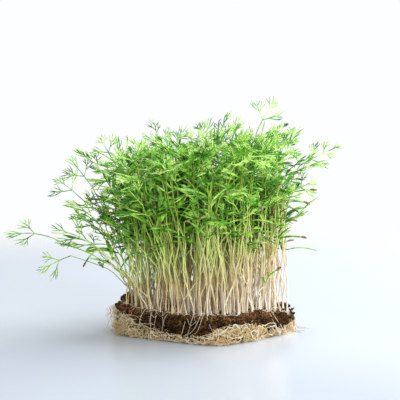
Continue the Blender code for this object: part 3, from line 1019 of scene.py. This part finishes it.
def ramp(tree, factor, stops):
    """Colours along a factor."""
    made = add_node(tree, "ShaderNodeValToRGB", {"Fac": factor})
    elements = made.color_ramp.elements
    for element, (position, colour) in zip((elements[0], elements[1]), (stops[0], stops[-1])):
        element.position = position
        element.color = (*colour, 1)
    for position, colour in stops[1:-1]:
        elements.new(position).color = (*colour, 1)
    return made.outputs["Color"]


def mixed(tree, factor, first, second, mode="MIX"):
    """Two colours mixed by a factor, which is a number or an output."""
    inputs = {0: factor, 6: first, 7: second}
    return add_node(tree, "ShaderNodeMix", inputs, data_type="RGBA", blend_type=mode).outputs[2]


def vector_math(tree, operation, *terms):
    """A node that works on vectors, each given as a value or as an output."""
    return add_node(tree, "ShaderNodeVectorMath", dict(enumerate(terms)), operation=operation)


def share_between(tree, value, low, high, **settings):
    """How far a value has come from the low limit to the high one."""
    inputs = {"Value": value, "From Min": low, "From Max": high}
    return add_node(tree, "ShaderNodeMapRange", inputs, **settings).outputs[0]


def height_share(tree, place, low, high, wobble, slope=0.0):
    """How far up between two heights a point is, pushed up or down by a noise; slope tips the
    heights along X."""
    level = vector_math(tree, "DOT_PRODUCT", place, (slope, 0, 1)).outputs["Value"]
    waves = noise_value(tree, place, 1.0, 1.0, stretch=(160, 160, 14))
    inputs = {"Value": waves, "From Min": 0.3, "From Max": 0.7, "To Min": -wobble, "To Max": wobble}
    shift = add_node(tree, "ShaderNodeMapRange", inputs, clamp=False).outputs[0]
    total = add_node(tree, "ShaderNodeMath", {0: level, 1: shift}, operation="ADD").outputs[0]
    return share_between(tree, total, low, high)


# The shaded core of the tuft: its middle and half sizes, in metres
TUFT_MIDDLE = (0.0, 0.004, 0.076)
TUFT_REACH = (0.056, 0.044, 0.040)


def shaded_inside(tree, place, colour, least):
    """The colour, darker the deeper it is inside the tuft."""
    shift = vector_math(tree, "SUBTRACT", place, TUFT_MIDDLE).outputs["Vector"]
    scaled = vector_math(tree, "DIVIDE", shift, TUFT_REACH).outputs["Vector"]
    reach = vector_math(tree, "LENGTH", scaled).outputs["Value"]
    shade = ramp(tree, reach, [(0.55, (least,) * 3), (1.0, (1.0, 1.0, 1.0))])
    return mixed(tree, 1.0, colour, shade, "MULTIPLY")


def add_bump(tree, shader, height, strength, distance):
    """Relief on the shader from a height."""
    inputs = {"Height": height, "Strength": strength, "Distance": distance}
    bump = add_node(tree, "ShaderNodeBump", inputs)
    tree.links.new(bump.outputs["Normal"], shader.inputs["Normal"])


def stem_finish():
    """Cream at the foot, straw and then green above, with fine lines along the stem."""
    material, tree, shader, place = new_finish(
        "stem_cream_to_green", 0.38, 0.4, 0.25, (0.9, 0.7, 0.35)
    )
    upwards = [
        (0.0, (0.97, 0.93, 0.82)),
        (0.15, (0.90, 0.79, 0.60)),
        (0.36, (0.81, 0.74, 0.38)),
        (0.60, (0.73, 0.90, 0.29)),
        (0.84, (0.55, 0.80, 0.14)),
        (1.0, (0.34, 0.58, 0.07)),
    ]
    tone = ramp(tree, height_share(tree, place, 12 * MM, 84 * MM, 9 * MM, -0.3), upwards)
    lines = noise_value(tree, place, 1.0, 4.0, stretch=(1900, 1900, 130))
    shade = ramp(tree, lines, [(0.32, (0.72, 0.66, 0.56)), (0.62, (1.0, 1.0, 1.0))])
    bands = noise_value(tree, place, 1.0, 1.0, stretch=(210, 210, 6))
    blush = ramp(tree, bands, [(0.42, (1.0, 1.0, 1.0)), (0.62, (0.93, 0.80, 0.76))])
    tone = mixed(tree, 1.0, mixed(tree, 1.0, tone, shade, "MULTIPLY"), blush, "MULTIPLY")
    tone = shaded_inside(tree, place, tone, 0.75)
    tree.links.new(tone, shader.inputs["Base Color"])
    add_bump(tree, shader, lines, 0.3, 0.1 * MM)
    return material


def leaf_finish():
    """Fresh greens that change from leaf to leaf, with painted light: lighter and bluer towards the top
    of the tuft, darker low down.
    """
    material, tree, shader, place = new_finish("leaf_green", 0.40, 0.35, 0.12, (0.5, 0.9, 0.15))
    greens = [
        (0.38, (0.034, 0.150, 0.005)),
        (0.50, (0.205, 0.555, 0.030)),
        (0.61, (0.590, 0.880, 0.140)),
    ]
    tone = ramp(tree, noise_value(tree, place, 130.0, 2.0), greens)
    # Painted light: the greens are darker low in the tuft and lighter and bluer towards its top
    share = height_share(tree, place, 60 * MM, 135 * MM, 12 * MM)
    lift = ramp(tree, share, [(0.0, (0.82, 0.86, 0.75)), (1.0, (1.3, 1.2, 2.4))])
    top_lit_tone = mixed(tree, 1.0, tone, lift, "MULTIPLY")
    fine = noise_value(tree, place, 700.0, 3.0)
    speck = ramp(tree, fine, [(0.3, (0.85, 0.88, 0.8)), (0.7, (1.1, 1.06, 1.1))])
    tone = shaded_inside(tree, place, mixed(tree, 1.0, top_lit_tone, speck, "MULTIPLY"), 0.07)
    tree.links.new(tone, shader.inputs["Base Color"])
    add_bump(tree, shader, fine, 0.25, 0.08 * MM)
    return material


def husk_finish():
    """Brown seed coats with fine grain, paler in patches."""
    material, tree, shader, place = new_finish("husk_brown", 0.6, 0.3)
    grain = noise_value(tree, place, 900.0, 4.0)
    patches = noise_value(tree, place, 90.0, 1.0)
    tone = ramp(tree, grain, [(0.35, (0.028, 0.017, 0.007)), (0.65, (0.09, 0.057, 0.022))])
    pale = ramp(tree, grain, [(0.35, (0.22, 0.140, 0.050)), (0.65, (0.48, 0.330, 0.13))])
    tree.links.new(mixed(tree, patches, tone, pale), shader.inputs["Base Color"])
    add_bump(tree, shader, grain, 0.5, 0.15 * MM)
    return material


def soil_finish():
    """Damp dark growing medium with lighter threads in it."""
    material, tree, shader, place = new_finish("soil_dark", 0.95, 0.06)
    lumps = noise_value(tree, place, 260.0, 8.0, 0.4)
    browns = [
        (0.36, (0.007, 0.004, 0.002)),
        (0.52, (0.028, 0.014, 0.006)),
        (0.64, (0.105, 0.046, 0.017)),
        (0.80, (0.300, 0.140, 0.056)),
    ]
    tone = ramp(tree, lumps, browns)
    threads = noise_value(tree, place, 480.0, 6.0, 3.5)
    mask = ramp(tree, threads, [(0.56, (0.0, 0.0, 0.0)), (0.66, (0.75, 0.75, 0.75))])
    pale = add_node(tree, "ShaderNodeRGB").outputs[0]
    pale.default_value = (0.38, 0.21, 0.085, 1)
    # Lighter on the slab's top and darker down its side, between 13 mm and 17 mm up
    rim = height_share(tree, place, 13 * MM, 17 * MM, 1 * MM)
    lighter_top = ramp(tree, rim, [(0.0, (0.75, 0.67, 0.58)), (1.0, (1.8, 1.62, 1.45))])
    tone = mixed(tree, 1.0, mixed(tree, mask, tone, pale), lighter_top, "MULTIPLY")
    tree.links.new(tone, shader.inputs["Base Color"])
    add_bump(tree, shader, lumps, 0.9, 0.9 * MM)
    return material


def fibre_finish(name, low, high, roughness=0.6):
    """Thin roots and threads, with a tone that changes from strand to strand."""
    material, tree, shader, place = new_finish(name, roughness, 0.3, 0.15, (1.0, 0.7, 0.4))
    patches = noise_value(tree, place, 230.0, 3.0)
    tree.links.new(ramp(tree, patches, [(0.34, low), (0.66, high)]), shader.inputs["Base Color"])
    add_bump(tree, shader, noise_value(tree, place, 1500.0), 0.3, 0.1 * MM)
    return material


def felt_finish():
    """The matted face of the root pad: threads over dark gaps, the gaps painted shade."""
    material, tree, shader, place = new_finish("root_felt", 0.85, 0.2)
    threads = noise_value(tree, place, 420.0, 6.0, 4.0)
    # The darkest tones are painted shade in the gaps between the threads
    threads_and_painted_gap_shade = [
        (0.36, (0.012, 0.007, 0.004)),
        (0.52, (0.050, 0.027, 0.013)),
        (0.64, (0.240, 0.140, 0.060)),
        (0.76, (0.560, 0.380, 0.190)),
    ]
    tree.links.new(ramp(tree, threads, threads_and_painted_gap_shade), shader.inputs["Base Color"])
    add_bump(tree, shader, threads, 0.8, 0.6 * MM)
    return material


# The object

stem = stem_finish()
green = leaf_finish()
brown = husk_finish()
soil = soil_finish()
felt = felt_finish()
golden = fibre_finish("root_golden", (0.64, 0.40, 0.16), (1.0, 0.82, 0.47))
cream = fibre_finish("root_cream", (0.84, 0.66, 0.43), (1.0, 0.91, 0.72))
coir = fibre_finish("thread_brown", (0.06, 0.034, 0.018), (0.34, 0.22, 0.13), 0.8)


def add_seedlings():
    """The pale stems in one piece, a green top for each solid, and the tuft between them."""
    settled = settle_sprouts()
    fillers = fill_sprouts([sprout["collar"].xy for sprout in settled]) + husk_holders()
    pale = strands_mesh("pale_stems", [lower_stem(sprout) for sprout in settled + fillers], 6)
    add_piece("pale_stems", [(pale, 0)], [stem], ["roots_and_stems"])
    rng = random.Random(SEED + 5)
    finishes = [stem, green, brown]
    for k, sprout in enumerate(settled):
        node = f"shoot_{k + 1:02d}"
        parts = shoot_parts(node, [sprout], rng, SOLID_SECOND_SHARE, SOLID_LOOSENESS)
        add_piece(f"seedling_{k + 1:02d}", parts, finishes, [node])
    for k in range(FILL_PIECES):
        name, members = f"tuft_{k + 1}", fillers[k::FILL_PIECES]
        parts = shoot_parts(name, members, rng, FILL_SECOND_SHARE, FILL_LOOSENESS)
        add_piece(name, parts, finishes)


def add_soil():
    """The slab with its clods and crumbs, and the fibres that lie on it."""
    rng = random.Random(SEED + 6)
    parts = [(soil_mesh(), 0), (lumps_mesh(), 0), (crumbs_mesh(rng), 0)]
    add_piece("soil_slab", parts, [soil], ["soil_mat"])
    threads = lying_fibres(rng, THREADS, THREAD_RADIUS, (5, 13), (0.3, 1.0))
    rootlets = lying_fibres(rng, ROOTLETS, ROOTLET_RADIUS, (4, 14), (0.6, 0.99))
    fibres = [
        (strands_mesh("soil_threads", threads, 4), 0),
        (strands_mesh("soil_rootlets", rootlets, 4), 1),
    ]
    add_piece("soil_threads", fibres, [coir, cream])


def add_roots():
    """The felted pad under the soil, and the curled roots round it."""
    rng = random.Random(SEED + 7)
    add_piece("root_pad", [(root_pad_mesh(), 0)], [felt], ["roots_and_stems"])
    curls = [
        (strands_mesh("root_fringe", root_strands(rng), 4), 0),
        (strands_mesh("root_loops", loop_strands(rng), 6), 1),
    ]
    add_piece("root_fringe", curls, [golden, cream])


add_seedlings()
add_soil()
add_roots()


# Floor, light and camera

# The floor's disc, the distances from its middle between which it fades out, and the places
# along a way in plan between which its tone changes: painted light, darker at the front and
# left and lighter to the right and back
FLOOR_MIDDLE = Vector((0.0, -0.35, 0.0))
FLOOR_RADIUS = 0.98
FLOOR_FADE = (0.68, 0.97)
FLOOR_LIGHT_WAY = (0.6, 1, 0)
FLOOR_LIGHT_SPAN = (-0.16, 0.14)


def floor_finish():
    """A white glossy table that fades out into the white round it, with painted light: darker towards
    the front and left.
    """
    material, tree, shader, place = new_finish("table_white", 0.22, 0.35)
    # Painted light: the table's colour is darker at the front and left and lighter to the right and
    # back
    along = vector_math(tree, "DOT_PRODUCT", place, FLOOR_LIGHT_WAY).outputs["Value"]
    painted_light_whites = [(0.0, (0.55, 0.61, 0.705)), (0.55, (0.66, 0.72, 0.81)), (1.0, (0.64, 0.70, 0.79))]
    tone = ramp(tree, share_between(tree, along, *FLOOR_LIGHT_SPAN), painted_light_whites)
    tree.links.new(tone, shader.inputs["Base Color"])
    distance = vector_math(tree, "DISTANCE", place, tuple(FLOOR_MIDDLE)).outputs["Value"]
    fade = share_between(tree, distance, *FLOOR_FADE, interpolation_type="SMOOTHSTEP")
    clear = add_node(tree, "ShaderNodeBsdfTransparent").outputs[0]
    blend = add_node(tree, "ShaderNodeMixShader", {0: fade, 1: shader.outputs[0], 2: clear})
    tree.links.new(blend.outputs[0], tree.nodes["Material Output"].inputs["Surface"])
    return material


def add_floor():
    """A flat disc, level with the mat's underside."""
    bm = bmesh.new()
    bmesh.ops.create_circle(bm, cap_ends=True, segments=96, radius=FLOOR_RADIUS)
    bmesh.ops.translate(bm, vec=FLOOR_MIDDLE, verts=bm.verts)
    floor = add_object("floor", bm_mesh("floor", bm))
    floor.data.materials.append(floor_finish())


def add_area_light(name, place, aim, size, power, colour):
    """A round soft light that faces its aim."""
    data = bpy.data.lights.new(name, "AREA")
    data.shape = "DISK"
    data.size = size
    data.energy = power
    data.color = colour
    light = add_object(name, data)
    light.location = place
    light.rotation_euler = (Vector(aim) - Vector(place)).to_track_quat("-Z", "Y").to_euler()


def add_world():
    """White all round for the camera, and a softer white as light."""
    world = bpy.data.worlds.new("white_room")
    world.use_nodes = True
    tree = world.node_tree
    seen = tree.nodes["Background"]
    seen.inputs["Color"].default_value = (0.98, 0.99, 1.0, 1)
    seen.inputs["Strength"].default_value = 1.0
    soft = {"Color": (0.95, 0.975, 1.0, 1), "Strength": 0.44}
    lit = add_node(tree, "ShaderNodeBackground", soft).outputs[0]
    rays = add_node(tree, "ShaderNodeLightPath").outputs["Is Camera Ray"]
    blend = add_node(tree, "ShaderNodeMixShader", {0: rays, 1: lit, 2: seen.outputs[0]})
    tree.links.new(blend.outputs[0], tree.nodes["World Output"].inputs["Surface"])
    bpy.context.scene.world = world


# What the camera looks at, how far above level and how far off it stands, and its lens in mm
CAMERA_AIM = Vector((-0.0036, 0.0, 0.080))
CAMERA_RISE = math.radians(5.3)
CAMERA_DISTANCE = 1.30
CAMERA_LENS = 195


def add_camera():
    """The camera, in front of the tuft and a little above it."""
    data = bpy.data.cameras.new("camera")
    data.lens = CAMERA_LENS
    data.sensor_width = 36
    camera = add_object("camera", data)
    back = Vector((0, -math.cos(CAMERA_RISE), math.sin(CAMERA_RISE)))
    camera.location = CAMERA_AIM + back * CAMERA_DISTANCE
    camera.rotation_euler = (-back).to_track_quat("-Z", "Y").to_euler()
    bpy.context.scene.camera = camera


add_floor()
add_world()
add_area_light("sky", (0.40, 0.15, 0.85), (0, 0, 0.06), 1.2, 12.0, (1.0, 0.99, 0.98))
add_area_light("front", (0.35, -0.9, 0.45), (0, 0, 0.06), 0.7, 7.5, (1.0, 1.0, 1.0))
add_area_light("behind", (0.60, 0.75, 0.30), (0, 0, 0.05), 0.5, 7.0, (1.0, 0.99, 0.96))
add_camera()
bpy.context.scene.view_settings.view_transform = "Standard"
